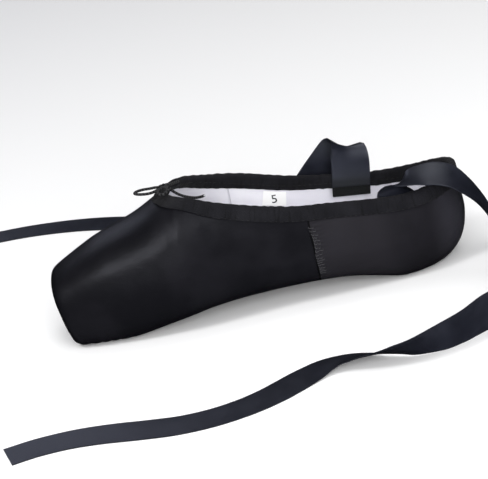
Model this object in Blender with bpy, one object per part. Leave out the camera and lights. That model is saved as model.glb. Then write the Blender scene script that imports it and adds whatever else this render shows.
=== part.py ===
# Pointe shoe: satin upper with a stiff toe box, leather outsole, insole, bound top line,
# drawstring and two ribbons. Metres, +Z up. The toe points to -X and the heel to +X, the
# shoe stands on z = 0, and its long axis lies on y = 0.

import math
from collections import namedtuple

import bmesh
import bpy
from mathutils import Matrix, Vector
from mathutils.bvhtree import BVHTree
from mathutils.interpolate import poly_3d_calc

# Driving sizes of the last
LENGTH = 0.240
BALL_WIDTH = 0.085
HEEL_CENTRE = 0.196  # from the toe, the axis that the heel is turned about
INSTEP_HEIGHT = 0.0735  # of the top line at the throat
HEEL_HEIGHT = 0.054  # of the top line at the back
ARCH_HEIGHT = 0.0095
PLATFORM_EDGE = 0.0045  # radius where the platform turns into the box
PLATFORM_TILT = 0.19  # how far the platform's foot stands back, as a share of its height
TILT_END = 0.024  # from the toe, where that lean has died out
HEEL_FLAT = 0.0255  # from the heel's centre to the back of the flat underside
THROAT = 0.074  # from the toe to the front of the opening

# Walls and clearances
GAP = 0.0003
UPPER_WALL = 0.0018
BOX_WALL = 0.003
BOX_END = 0.062  # from the toe, where the stiffened wall has thinned out to the cloth
OUTSOLE_THICKNESS = 0.0020
INSOLE_THICKNESS = 0.0016
SATIN_CLEARANCE = 0.0005  # of the turned-under satin above the floor
BINDING_DEPTH = 0.0078
BINDING_WALL = 0.0009
BINDING_GAP = 0.0005  # the tape spans the curved wall in short straight steps

# Soles, by the flat of the underside and the distance of their tips from the toe
OUTSOLE_START = 0.022
OUTSOLE_MARGIN = 0.0026  # of satin left flat round the outsole
OUTSOLE_EDGE = 0.0007
INSOLE_START = 0.040
INSOLE_SHARE = 1.12
OPENING_START = 0.026
OPENING_SHARE = 0.56
SOLE_TIP = 0.014  # length of the rounded tip

# Tag, ribbons and drawstring
TAG_FROM_TOE = 0.1325
TAG_WIDTH = 0.012
TAG_HEIGHT = 0.010
TAG_THICKNESS = 0.0004
RIBBON_WIDTH = 0.022
RIBBON_THICKNESS = 0.0005
STRING_DIAMETER = 0.0016
KNOT_SIZE = 0.0050

HALF_BALL = BALL_WIDTH / 2

# Cross-sections of the last. along is a share of LENGTH; width and flat are shares of half
# the ball width: the widest line and the flat of the underside. rise is a share of
# ARCH_HEIGHT; bulge and top are shares of INSTEP_HEIGHT: the height of the widest line and
# of the crest or top line.
Section = namedtuple("Section", "along width flat rise bulge top")
SECTIONS = (
    Section(0.000, 0.635, 0.38, 0.00, 0.23, 0.524),
    Section(0.050, 0.706, 0.43, 0.00, 0.25, 0.610),
    Section(0.125, 0.819, 0.50, 0.00, 0.29, 0.731),
    Section(0.150, 0.853, 0.52, 0.00, 0.30, 0.759),
    Section(0.183, 0.895, 0.55, 0.05, 0.31, 0.795),
    Section(0.230, 0.946, 0.58, 0.28, 0.34, 0.848),
    Section(0.308, 0.995, 0.60, 0.66, 0.36, 0.972),
    Section(0.325, 0.995, 0.60, 0.74, 0.36, 0.986),
    Section(0.354, 0.988, 0.59, 0.86, 0.37, 0.981),
    Section(0.404, 0.965, 0.57, 0.97, 0.38, 0.935),
    Section(0.467, 0.922, 0.54, 1.00, 0.38, 0.882),
    Section(0.521, 0.894, 0.51, 1.00, 0.37, 0.833),
    Section(0.604, 0.880, 0.49, 0.97, 0.35, 0.758),
    Section(0.688, 0.861, 0.49, 0.76, 0.33, 0.716),
    Section(0.750, 0.819, 0.49, 0.40, 0.31, 0.682),
    Section(0.817, 0.767, 0.49, 0.00, 0.30, 0.656),
)

# The opening at the top. along is a share of the way from the throat to the heel's centre;
# half is a share of half the ball width.
Opening = namedtuple("Opening", "along half")
OPENINGS = (
    Opening(-0.100, 0.000),
    Opening(0.000, 0.000),
    Opening(0.033, 0.290),
    Opening(0.090, 0.450),
    Opening(0.188, 0.585),
    Opening(0.312, 0.700),
    Opening(0.418, 0.720),
    Opening(0.582, 0.672),
    Opening(0.747, 0.612),
    Opening(0.869, 0.590),
    Opening(1.000, 0.585),
)

# The heel, turned about its centre. turn is a share of the quarter turn from the side to
# the back; bulge and top are shares of HEEL_HEIGHT.
HeelSection = namedtuple("HeelSection", "turn bulge top")
HEEL_SECTIONS = (
    HeelSection(0.00, 0.408, 0.893),
    HeelSection(0.25, 0.415, 0.886),
    HeelSection(0.50, 0.435, 0.898),
    HeelSection(0.75, 0.465, 0.950),
    HeelSection(1.00, 0.490, 1.000),
)
HEEL_ROUNDNESS = 1.9
COLLAR_ROUNDNESS = 2.2
COLLAR_SETBACK = 0.0025  # of the top line from the farthest point of the heel
TOE_POWER = 2.7  # how square the box is over the toes
TOP_POWER = 2.3
WALL_POWER = 1.35  # how late a quarter leans in on its way up

# Rows of the upper's net, in shares of the way to the next part of the shoe: over the
# toes, over the hole underneath, and past the throat
TOE_ROWS = (0.30, 0.48, 0.67, 0.81, 0.92)
SOLE_ROWS = (0.02, 0.06, 0.12, 0.21, 0.33, 0.46, 0.59, 0.71, 0.82, 0.905, 0.965)
THROAT_ROWS = (0.0, 0.0024, 0.0079, 0.0157, 0.0266, 0.0413, 0.0590, 0.0807, 0.108, 0.146,
               0.197, 0.260, 0.329, 0.401, 0.478, 0.559, 0.641, 0.724, 0.807, 0.885, 0.956)
HEEL_ROWS = 10
EDGE_ROWS = 3
UNDER_COLUMNS = 3
LOWER_COLUMNS = 4
UPPER_COLUMNS = 8

# Routes of the ribbons, chosen by hand: the centre line and the direction of the width
Fold = namedtuple("Fold", "x y z across along_y up")
NEAR_RIBBON = (
    Fold(0.0805, -0.0240, 0.0350, 1.0, 0.0, 0.0),
    Fold(0.0805, -0.0213, 0.0415, 1.0, 0.0, 0.0),
    Fold(0.0806, -0.0186, 0.0480, 0.97, 0.16, 0.0),
    Fold(0.0825, -0.0180, 0.0530, 0.62, 0.75, -0.10),
    Fold(0.0884, -0.0190, 0.0556, 0.15, 0.98, 0.05),
    Fold(0.0968, -0.0186, 0.0556, 0.10, 0.96, 0.22),
    Fold(0.1049, -0.0195, 0.0551, 0.16, 0.94, 0.28),
    Fold(0.1128, -0.0228, 0.0520, 0.20, 0.94, 0.26),
    Fold(0.1194, -0.0260, 0.0458, 0.23, 0.95, 0.14),
    Fold(0.1242, -0.0285, 0.0395, 0.26, 0.95, -0.03),
    Fold(0.1280, -0.0317, 0.0325, 0.28, 0.94, -0.19),
    Fold(0.1315, -0.0352, 0.0255, 0.35, 0.88, -0.32),
    Fold(0.1355, -0.0395, 0.0195, 0.42, 0.78, -0.46),
    Fold(0.1402, -0.0450, 0.0148, 0.45, 0.62, -0.62),
    Fold(0.1450, -0.0540, 0.0122, 0.42, 0.40, -0.80),
    Fold(0.1475, -0.0660, 0.0115, 0.30, 0.15, -0.94),
    Fold(0.1460, -0.0800, 0.0114, 0.10, 0.00, -1.0),
    Fold(0.1400, -0.0945, 0.0114, 0.00, 0.05, -1.0),
    Fold(0.1300, -0.1070, 0.0114, 0.03, 0.12, -0.99),
    Fold(0.1175, -0.1165, 0.0114, 0.05, 0.18, -0.97),
    Fold(0.1040, -0.1241, 0.0112, 0.06, 0.24, -0.96),
    Fold(0.0907, -0.1340, 0.0107, 0.08, 0.38, -0.91),
    Fold(0.0785, -0.1396, 0.0103, 0.06, 0.48, -0.87),
    Fold(0.0625, -0.1412, 0.0089, 0.08, 0.70, -0.71),
    Fold(0.0528, -0.1385, 0.0077, 0.10, 0.82, -0.56),
    Fold(0.0440, -0.1342, 0.0062, 0.10, 0.89, -0.43),
    Fold(0.0367, -0.1290, 0.0046, 0.05, 0.95, -0.31),
    Fold(0.0270, -0.1245, 0.0030, 0.00, 0.98, -0.20),
    Fold(0.0171, -0.1245, 0.0018, -0.12, 0.98, -0.09),
    Fold(0.0080, -0.1290, 0.0009, -0.25, 0.96, -0.02),
    Fold(-0.0020, -0.1360, 0.0006, -0.35, 0.94, 0.0),
    Fold(-0.0130, -0.1435, 0.0006, -0.40, 0.92, 0.0),
    Fold(-0.0270, -0.1500, 0.0006, -0.30, 0.95, 0.0),
    Fold(-0.0440, -0.1540, 0.0006, -0.12, 0.99, 0.0),
    Fold(-0.0620, -0.1540, 0.0006, 0.10, 1.0, 0.0),
    Fold(-0.0800, -0.1500, 0.0006, 0.24, 0.97, 0.0),
    Fold(-0.0980, -0.1450, 0.0006, 0.24, 0.97, 0.0),
    Fold(-0.1160, -0.1420, 0.0006, 0.08, 1.0, 0.0),
    Fold(-0.1340, -0.1425, 0.0006, -0.12, 0.99, 0.0),
    Fold(-0.1500, -0.1460, 0.0006, -0.28, 0.96, 0.0),
)
FAR_RIBBON = (
    Fold(0.0595, 0.0254, 0.0380, 0.96, 0.0, -0.28),
    Fold(0.0600, 0.0231, 0.0440, 0.96, 0.0, -0.26),
    Fold(0.0608, 0.0208, 0.0505, 0.97, 0.0, -0.24),
    Fold(0.0616, 0.0195, 0.0570, 0.975, 0.0, -0.22),
    Fold(0.0621, 0.0200, 0.0625, 0.96, 0.02, -0.28),
    Fold(0.0618, 0.0218, 0.0668, 0.93, 0.04, -0.36),
    Fold(0.0603, 0.0243, 0.0686, 0.90, 0.03, -0.43),
    Fold(0.0577, 0.0268, 0.0672, 0.84, 0.02, -0.53),
    Fold(0.0542, 0.0290, 0.0636, 0.78, 0.06, -0.62),
    Fold(0.0497, 0.0315, 0.0585, 0.75, 0.10, -0.65),
    Fold(0.0445, 0.0347, 0.0525, 0.75, 0.14, -0.64),
    Fold(0.0385, 0.0390, 0.0450, 0.76, 0.19, -0.62),
    Fold(0.0320, 0.0440, 0.0365, 0.77, 0.25, -0.58),
    Fold(0.0250, 0.0505, 0.0275, 0.78, 0.33, -0.52),
    Fold(0.0170, 0.0585, 0.0190, 0.78, 0.42, -0.42),
    Fold(0.0080, 0.0680, 0.0115, 0.78, 0.52, -0.28),
    Fold(-0.0020, 0.0800, 0.0060, 0.79, 0.58, -0.14),
    Fold(-0.0125, 0.0940, 0.0022, 0.80, 0.60, -0.03),
    Fold(-0.0240, 0.1110, 0.0007, 0.81, 0.58, 0.0),
    Fold(-0.0355, 0.1290, 0.0006, 0.81, 0.58, 0.0),
    Fold(-0.0480, 0.1480, 0.0006, 0.76, 0.65, 0.0),
    Fold(-0.0640, 0.1660, 0.0006, 0.64, 0.77, 0.0),
    Fold(-0.0830, 0.1800, 0.0006, 0.54, 0.84, 0.0),
    Fold(-0.1040, 0.1915, 0.0006, 0.42, 0.91, 0.0),
    Fold(-0.1260, 0.1995, 0.0006, 0.30, 0.95, 0.0),
    Fold(-0.1500, 0.2045, 0.0006, 0.14, 0.99, 0.0),
    Fold(-0.1740, 0.2050, 0.0006, -0.08, 1.0, 0.0),
    Fold(-0.1970, 0.2010, 0.0006, -0.26, 0.96, 0.0),
    Fold(-0.2180, 0.1930, 0.0006, -0.42, 0.91, 0.0),
    Fold(-0.2380, 0.1820, 0.0006, -0.54, 0.84, 0.0),
)
RIBBON_STEP = 0.0075

# Routes of the drawstring from its knot, chosen by hand, against the knot's centre
TOE_LOOP = (
    (-0.0030, 0.0010, 0.0004), (-0.0046, 0.0035, -0.0002), (-0.0073, 0.0055, -0.0008),
    (-0.0114, 0.0060, -0.0007), (-0.0147, 0.0048, -0.0006), (-0.0161, 0.0018, -0.0005),
    (-0.0140, -0.0010, -0.0006), (-0.0101, -0.0020, -0.0010), (-0.0062, -0.0020, -0.0010),
    (-0.0030, -0.0012, -0.0004),
)
HEEL_LOOP = (
    (0.0014, -0.0030, 0.0008), (0.0022, -0.0058, 0.0009), (0.0022, -0.0088, 0.0003),
    (0.0004, -0.0108, -0.0003), (-0.0022, -0.0102, -0.0003), (-0.0032, -0.0074, 0.0003),
    (-0.0027, -0.0048, 0.0006), (-0.0014, -0.0030, 0.0004),
)
TOE_END = (
    (0.0022, 0.0014, 0.0008), (0.0040, 0.0034, -0.0002), (0.0064, 0.0066, -0.0010),
    (0.0094, 0.0104, -0.0018),
)
HEEL_END = (
    (0.0028, 0.0000, -0.0004), (0.0048, 0.0000, -0.0030), (0.0076, -0.0004, -0.0056),
    (0.0110, -0.0020, -0.0073), (0.0152, -0.0054, -0.0079), (0.0188, -0.0092, -0.0073),
    (0.0218, -0.0128, -0.0058),
)
STRING_STEP = 0.0030


def clear_scene():
    for item in list(bpy.data.objects):
        bpy.data.objects.remove(item, do_unlink=True)


def material(name, colour, roughness, metallic=0.0):
    made = bpy.data.materials.new(name)
    made.use_nodes = True
    shader = made.node_tree.nodes["Principled BSDF"]
    shader.inputs["Base Color"].default_value = (*colour, 1.0)
    shader.inputs["Roughness"].default_value = roughness
    shader.inputs["Metallic"].default_value = metallic
    return made


def finish(name, mesh_data, finish_material, smooth_angle=math.radians(40)):
    bmesh.ops.recalc_face_normals(mesh_data, faces=mesh_data.faces)
    mesh = bpy.data.meshes.new(name)
    mesh_data.to_mesh(mesh)
    mesh_data.free()
    mesh.shade_smooth()
    mesh.set_sharp_from_angle(angle=smooth_angle)
    mesh.materials.append(finish_material)
    made = bpy.data.objects.new(name, mesh)
    bpy.context.collection.objects.link(made)
    return made


# Smooth steps and curves

def ease(value, start, end):
    share = min(max((value - start) / (end - start), 0.0), 1.0)
    return share * share * (3 - 2 * share)


def read_table(table, column, at, power=1):
    # A curve through one column that never swings past its rows, so what is flat stays flat
    places = [row[0] for row in table]
    values = [getattr(row, column) ** power for row in table]
    at = min(max(at, places[0]), places[-1])
    last = len(table) - 2
    step = next((i for i in range(last + 1) if at <= places[i + 1]), last)

    def slope(i):
        return (values[i + 1] - values[i]) / (places[i + 1] - places[i])

    def tangent(i):
        if i == 0 or i == last + 1:
            return slope(min(i, last))
        before, after = slope(i - 1), slope(i)
        return 0.0 if before * after <= 0 else 2 * before * after / (before + after)

    span = places[step + 1] - places[step]
    t = (at - places[step]) / span
    value = (
        values[step] * (2 * t**3 - 3 * t**2 + 1)
        + values[step + 1] * (3 * t**2 - 2 * t**3)
        + tangent(step) * span * (t**3 - 2 * t**2 + t)
        + tangent(step + 1) * span * (t**3 - t**2)
    )
    return max(value, 0.0) ** (1 / power)


def round_plan(reach, side, roundness, turn):
    # Distance from the heel's centre to a rounded outline, turned from the side to the back
    back, out = math.sin(turn), math.cos(turn)
    return ((back / reach) ** roundness + (out / side) ** roundness) ** (-1 / roundness)


# The last: one half profile for each row of the net

Profile = namedtuple("Profile", "width flat floor bulge hole top open")


def growth(from_toe, start):
    # From 0 at a rounded tip to 1 where the tip has reached its full width
    share = min(max((from_toe - start) / SOLE_TIP, 0.0), 1.0)
    return math.sqrt(share * (2 - share))


def last_profile(from_toe):
    share = from_toe / LENGTH

    def size(column, whole):
        return whole * read_table(SECTIONS, column, share)

    flat = size("flat", HALF_BALL)
    past = (from_toe - THROAT) / (HEEL_CENTRE - THROAT)
    return Profile(
        width=size("width", HALF_BALL),
        flat=flat,
        floor=size("rise", ARCH_HEIGHT),
        bulge=size("bulge", INSTEP_HEIGHT),
        hole=flat * OPENING_SHARE * growth(from_toe, OPENING_START),
        top=size("top", INSTEP_HEIGHT),
        open=HALF_BALL * read_table(OPENINGS, "half", past, power=2),
    )


def heel_profile(turn_share):
    def size(column, whole):
        return whole * read_table(HEEL_SECTIONS, column, turn_share)

    turn = turn_share * math.pi / 2
    reach = LENGTH - HEEL_CENTRE
    side = last_profile(HEEL_CENTRE)
    flat = round_plan(HEEL_FLAT, side.flat, HEEL_ROUNDNESS, turn)
    return Profile(
        width=round_plan(reach, side.width, HEEL_ROUNDNESS, turn),
        flat=flat,
        floor=0.0,
        bulge=size("bulge", HEEL_HEIGHT),
        hole=flat * OPENING_SHARE,
        top=size("top", HEEL_HEIGHT),
        open=round_plan(reach - COLLAR_SETBACK, side.open, COLLAR_ROUNDNESS, turn),
    )


def seat_height(from_toe):
    # How far the underside is set up above the sole line, to let the outsole in
    inset = OUTSOLE_THICKNESS + GAP
    return SATIN_CLEARANCE + (inset - SATIN_CLEARANCE) * ease(
        from_toe, OUTSOLE_START - 0.005, OUTSOLE_START - 0.0012
    )


def profile_points(profile, from_toe, inset=0.0):
    # Half of one cross-section as (out, up), from under the sole to the crest or top line
    size = profile
    seat = size.floor + seat_height(from_toe + tilt_back(from_toe, size.floor))
    lip = size.floor + SATIN_CLEARANCE
    points = []
    for i in range(UNDER_COLUMNS):
        share = i / (UNDER_COLUMNS - 1)
        points.append((size.hole + (size.flat - OUTSOLE_MARGIN - size.hole) * share, seat))
    for i in range(LOWER_COLUMNS):
        angle = math.pi / 2 * i / LOWER_COLUMNS
        out = size.flat + (size.width - size.flat) * math.sin(angle)
        points.append((out, size.bulge - (size.bulge - lip) * math.cos(angle)))
    power = TOP_POWER + (TOE_POWER - TOP_POWER) * (1 - ease(from_toe, 0.0, THROAT))
    ratio = size.open / size.width
    crest = size.bulge + (size.top - size.bulge) / (1 - ratio**power) ** (1 / power)
    last_angle = math.acos(ratio ** (power / 2))
    upright = ease(ratio, 0.35, 0.80)
    for i in range(UPPER_COLUMNS + 1):
        share = i / UPPER_COLUMNS
        angle = last_angle * share
        out = size.width * max(math.cos(angle), 0.0) ** (2 / power)
        up = size.bulge + (crest - size.bulge) * math.sin(angle) ** (2 / power)
        wall_out = size.width - (size.width - size.open) * share**WALL_POWER
        wall_up = size.bulge + (size.top - size.bulge) * share
        points.append((out + (wall_out - out) * upright, up + (wall_up - up) * upright))
    if not inset:
        return points
    middle = (size.top + lip) / 2
    return [(out * (1 - inset / size.width), middle + (up - middle) * (1 - inset / middle))
            for out, up in points]


def tilt_back(from_toe, up):
    # The platform leans, and the lean dies out along the box
    top = INSTEP_HEIGHT * SECTIONS[0].top
    return PLATFORM_TILT * (top - up) * (1 - ease(from_toe, 0.0, TILT_END))


def toe_row(from_toe, inset=0.0, squeeze=1.0):
    row = profile_points(last_profile(from_toe), from_toe, inset)
    return [Vector((from_toe + tilt_back(from_toe, up) - LENGTH / 2, -out * squeeze, up))
            for out, up in row]


def heel_row(turn_share):
    turn = turn_share * math.pi / 2
    row = profile_points(heel_profile(turn_share), HEEL_CENTRE)
    axis = HEEL_CENTRE - LENGTH / 2
    return [Vector((axis + out * math.sin(turn), -out * math.cos(turn), up)) for out, up in row]


def upper_rows():
    # Each row with its distance from the toe, or past the heel's centre where it turns
    rows = [(0.0, toe_row(0.0, PLATFORM_EDGE, squeeze)) for squeeze in (0.0, 0.55)]
    for i in range(EDGE_ROWS + 1):
        angle = math.pi / 2 * i / EDGE_ROWS
        from_toe = PLATFORM_EDGE * (1 - math.cos(angle))
        rows.append((from_toe, toe_row(from_toe, PLATFORM_EDGE * (1 - math.sin(angle)))))
    places = [OPENING_START * share for share in TOE_ROWS]
    places += [OPENING_START + (THROAT - OPENING_START) * share for share in SOLE_ROWS]
    places += [THROAT + (HEEL_CENTRE - THROAT) * share for share in THROAT_ROWS]
    rows += [(from_toe, toe_row(from_toe)) for from_toe in places]
    for i in range(HEEL_ROWS + 1):
        rows.append((HEEL_CENTRE, heel_row(i / HEEL_ROWS)))
    return rows


def box_weight(from_toe):
    # Share of the box's wall thickness at this distance from the toe
    thin = UPPER_WALL / BOX_WALL
    return thin + (1 - thin) * (1 - ease(from_toe, 0.6 * BOX_END, BOX_END))


def upper_sheet():
    # The outer face as one open sheet, both halves welded at the toe, crest and heel
    sheet = bmesh.new()
    thickness = sheet.verts.layers.deform.verify()
    grid = []
    for from_toe, row in upper_rows():
        made = [sheet.verts.new(point) for point in row]
        for vertex in made:
            vertex[thickness][0] = box_weight(from_toe)
        grid.append(made)
    for before, after in zip(grid, grid[1:]):
        for i in range(len(before) - 1):
            sheet.faces.new((before[i], after[i], after[i + 1], before[i + 1]))
    bmesh.ops.remove_doubles(sheet, verts=sheet.verts, dist=1e-5)
    bmesh.ops.triangulate(sheet, faces=sheet.faces)
    bmesh.ops.mirror(sheet, geom=sheet.verts[:] + sheet.faces[:], axis="Y", merge_dist=1e-6)
    bmesh.ops.remove_doubles(sheet, verts=sheet.verts, dist=1e-5)
    bmesh.ops.dissolve_degenerate(sheet, dist=1e-6, edges=sheet.edges)
    bmesh.ops.recalc_face_normals(sheet, faces=sheet.faces)
    top = max(sheet.faces, key=lambda face: face.calc_center_median().z)
    outward = Vector((0, top.calc_center_median().y, 1))
    if top.normal.dot(outward) < 0:
        bmesh.ops.reverse_faces(sheet, faces=sheet.faces)
    sheet.normal_update()
    return sheet


def add_upper(satin):
    sheet = upper_sheet()
    mesh = bpy.data.meshes.new("upper")
    sheet.to_mesh(mesh)
    sheet.free()
    mesh.shade_smooth()
    mesh.set_sharp_from_angle(angle=math.radians(50))
    mesh.materials.append(satin)
    upper = bpy.data.objects.new("upper", mesh)
    bpy.context.collection.objects.link(upper)
    upper.vertex_groups.new(name="wall")
    wall = upper.modifiers.new("wall", "SOLIDIFY")
    wall.thickness = BOX_WALL
    wall.offset = -1
    wall.use_even_offset = False
    wall.use_quality_normals = True
    wall.vertex_group = "wall"
    wall.thickness_vertex_group = 0.0
    return upper


# What lies on the upper is placed by its own face

class UpperFace:
    def __init__(self):
        self.sheet = upper_sheet()
        self.sheet.faces.ensure_lookup_table()
        self.tree = BVHTree.FromBMesh(self.sheet)

    def on(self, point, out):
        # The nearest point of the outer face, moved out along the smooth normal
        place, _, index, _ = self.tree.find_nearest(point)
        face = self.sheet.faces[index]
        weights = poly_3d_calc([v.co for v in face.verts], place)
        normal = sum((v.normal * w for v, w in zip(face.verts, weights)), Vector())
        return place + normal.normalized() * out

    def top_line(self):
        # The top edge as a closed ring of points, with normals and the way down the wall
        rows = [row[-1] for from_toe, row in upper_rows() if from_toe >= THROAT]
        near = [point for i, point in enumerate(rows) if i == 0 or (point - rows[i - 1]).length > 1e-6]
        far = [Vector((p.x, -p.y, p.z)) for p in reversed(near[1:-1])]
        ring = near + far
        found = []
        for i, point in enumerate(ring):
            along = (ring[(i + 1) % len(ring)] - ring[i - 1]).normalized()
            normal = (self.on(point, 1.0) - point).normalized()
            down = along.cross(normal).normalized()
            down *= -1 if down.z > 0 else 1
            found.append((point, normal, down))
        return found

    def free(self):
        self.sheet.free()


def bridge(rings, closed):
    # One closed skin over rings that all hold as many points
    made = bmesh.new()
    loops = [[made.verts.new(point) for point in ring] for ring in rings]
    pairs = list(zip(loops, loops[1:] + loops[:1])) if closed else list(zip(loops, loops[1:]))
    for before, after in pairs:
        count = len(before)
        for i in range(count):
            made.faces.new((before[i], before[(i + 1) % count], after[(i + 1) % count], after[i]))
    if not closed:
        made.faces.new(reversed(loops[0]))
        made.faces.new(loops[-1])
    return made


def add_binding(face, cotton):
    # A folded tape: one leg outside the wall, one inside, and a round fold over the edge
    near, far = BINDING_GAP, BINDING_GAP + BINDING_WALL
    inner_near, inner_far = -UPPER_WALL - near, -UPPER_WALL - far
    deep, half, quarter = BINDING_DEPTH, BINDING_DEPTH / 2, BINDING_DEPTH / 4
    section = (
        (deep, near), (deep, far), (half, far), (0.0, far), (-0.8 * far, 0.4 * far),
        (-far, -UPPER_WALL / 2), (-0.8 * far, -UPPER_WALL - 0.4 * far), (0.0, inner_far),
        (half, inner_far), (deep, inner_far), (deep, inner_near), (half, inner_near),
        (quarter, inner_near), (-near, inner_near), (-near, near), (quarter, near), (half, near),
    )
    rings = []
    for point, normal, down in face.top_line():
        ring = []
        for depth, out in section:
            if depth > 0:
                ring.append(face.on(point + down * depth, out))
            else:
                ring.append(point + down * depth + normal * out)
        rings.append(ring)
    return finish("collar_binding", bridge(rings, closed=True), cotton)


# Soles

def sole_places(start, end):
    # Rows across a sole: close together over its round tip and its round heel
    tip = [start + SOLE_TIP * (1 - math.cos(math.pi / 2 * i / 5)) for i in range(1, 6)]
    steps = max(4, round((HEEL_CENTRE - tip[-1]) / 0.0085))
    middle = [tip[-1] + (HEEL_CENTRE - tip[-1]) * i / steps for i in range(1, steps + 1)]
    heel = [HEEL_CENTRE + (end - HEEL_CENTRE) * math.sin(math.pi / 2 * i / 6) for i in range(1, 6)]
    return tip + middle + heel + [end - GAP]


def sole_half_width(from_toe, start, end, share, margin):
    side = last_profile(min(from_toe, HEEL_CENTRE)).flat * share - margin
    past = max(from_toe - HEEL_CENTRE, 0.0) / (end - HEEL_CENTRE)
    return side * growth(from_toe, start) * (1 - past**HEEL_ROUNDNESS) ** (1 / HEEL_ROUNDNESS)


def sole_rise(from_toe):
    return last_profile(from_toe).floor if from_toe <= HEEL_CENTRE else 0.0


def add_outsole(leather):
    rings = []
    margin = OUTSOLE_MARGIN + 2 * GAP
    end = HEEL_CENTRE + HEEL_FLAT - margin
    for from_toe in sole_places(OUTSOLE_START, end):
        half = sole_half_width(from_toe, OUTSOLE_START, end, 1.0, margin)
        x = from_toe - LENGTH / 2
        low = sole_rise(from_toe)
        high = low + OUTSOLE_THICKNESS
        edge = OUTSOLE_EDGE
        outline = ((-half + edge, low), (0, low), (half - edge, low), (half, low + edge),
                   (half, high), (0, high), (-half, high), (-half, low + edge))
        rings.append([Vector((x, y, z)) for y, z in outline])
    return finish("outsole", bridge(rings, closed=False), leather)


def add_insole(board):
    rings = []
    end = HEEL_CENTRE + HEEL_FLAT * INSOLE_SHARE
    for from_toe in sole_places(INSOLE_START, end):
        half = sole_half_width(from_toe, INSOLE_START, end, INSOLE_SHARE, 0.0)
        x = from_toe - LENGTH / 2
        wall = BOX_WALL * box_weight(from_toe)
        low = sole_rise(from_toe) + seat_height(from_toe) + wall + GAP
        high = low + INSOLE_THICKNESS
        outline = ((-half, low), (0, low), (half, low), (half, high), (0, high), (-half, high))
        rings.append([Vector((x, y, z)) for y, z in outline])
    return finish("insole", bridge(rings, closed=False), board)


def add_size_tag(face, cotton):
    # Sewn to the inside of the far quarter, just under the binding
    ring = sorted((row for row in face.top_line() if row[0].y > 0), key=lambda row: row[0].x)
    start = TAG_FROM_TOE - LENGTH / 2
    rings = []
    for i in range(4):
        x = start + TAG_WIDTH * i / 3
        after = next(i for i, row in enumerate(ring) if row[0].x > x)
        before, behind = ring[after - 1], ring[after]
        share = (x - before[0].x) / (behind[0].x - before[0].x)
        point = before[0].lerp(behind[0], share)
        down = before[2].lerp(behind[2], share)
        out = -UPPER_WALL - GAP
        outer, inner = [], []
        for j in range(3):
            depth = BINDING_DEPTH + 4 * GAP + TAG_HEIGHT * j / 2
            outer.append(face.on(point + down * depth, out))
            inner.append(face.on(point + down * depth, out - TAG_THICKNESS))
        rings.append(outer + inner[::-1])
    return finish("size_tag", bridge(rings, closed=False), cotton)


# Ribbons and drawstring

def smooth_route(points, step):
    # Points about a step apart on a smooth curve through the route's own points
    ghost_start = points[0] * 2 - points[1]
    ghost_end = points[-1] * 2 - points[-2]
    chain = [ghost_start, *points, ghost_end]
    found = []
    for a, b, c, d in zip(chain, chain[1:], chain[2:], chain[3:]):
        span = (c - b).magnitude
        count = max(1, round(span / step))
        for i in range(count):
            t = i / count
            found.append(0.5 * (2 * b + (c - a) * t + (2 * a - 5 * b + 4 * c - d) * t**2
                                + (3 * b - a - 3 * c + d) * t**3))
    return found + [points[-1]]


def six_numbers(fold):
    direction = Vector((fold.across, fold.along_y, fold.up)).normalized() * 0.01
    return Vector((fold.x, fold.y, fold.z, *direction))


def add_ribbon(name, folds, satin):
    route = smooth_route([six_numbers(fold) for fold in folds], RIBBON_STEP)
    centres = [Vector(row[:3]) for row in route]
    rings = []
    for i, row in enumerate(route):
        along = (centres[min(i + 1, len(centres) - 1)] - centres[max(i - 1, 0)]).normalized()
        across = Vector(row[3:])
        across = (across - along * across.dot(along)).normalized() * RIBBON_WIDTH / 2
        up = along.cross(across).normalized() * RIBBON_THICKNESS / 2
        rings.append([centres[i] - across - up, centres[i] + across - up,
                      centres[i] + across + up, centres[i] - across + up])
    return finish(name, bridge(rings, closed=False), satin)


def knot_centre():
    crest = toe_row(THROAT)[-1]
    return crest + Vector((0.0004, 0.0, BINDING_WALL + GAP + KNOT_SIZE / 2 + GAP))


def add_string(name, route, cotton):
    curve = bpy.data.curves.new(name, "CURVE")
    curve.dimensions = "3D"
    curve.bevel_depth = STRING_DIAMETER / 2
    curve.bevel_resolution = 2
    curve.use_fill_caps = True
    points = smooth_route([knot_centre() + Vector(offset) for offset in route], STRING_STEP)
    spline = curve.splines.new("POLY")
    spline.points.add(len(points) - 1)
    for point, place in zip(spline.points, points):
        point.co = (*place, 1.0)
    curve.materials.append(cotton)
    made = bpy.data.objects.new(name, curve)
    bpy.context.collection.objects.link(made)
    return made


def add_knot(cotton):
    made = bmesh.new()
    shape = Matrix.Translation(knot_centre()) @ Matrix.Diagonal((0.86, 1.0, 0.90, 1.0))
    bmesh.ops.create_uvsphere(made, u_segments=12, v_segments=8, radius=KNOT_SIZE / 2, matrix=shape)
    return finish("drawstring_knot", made, cotton)


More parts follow.
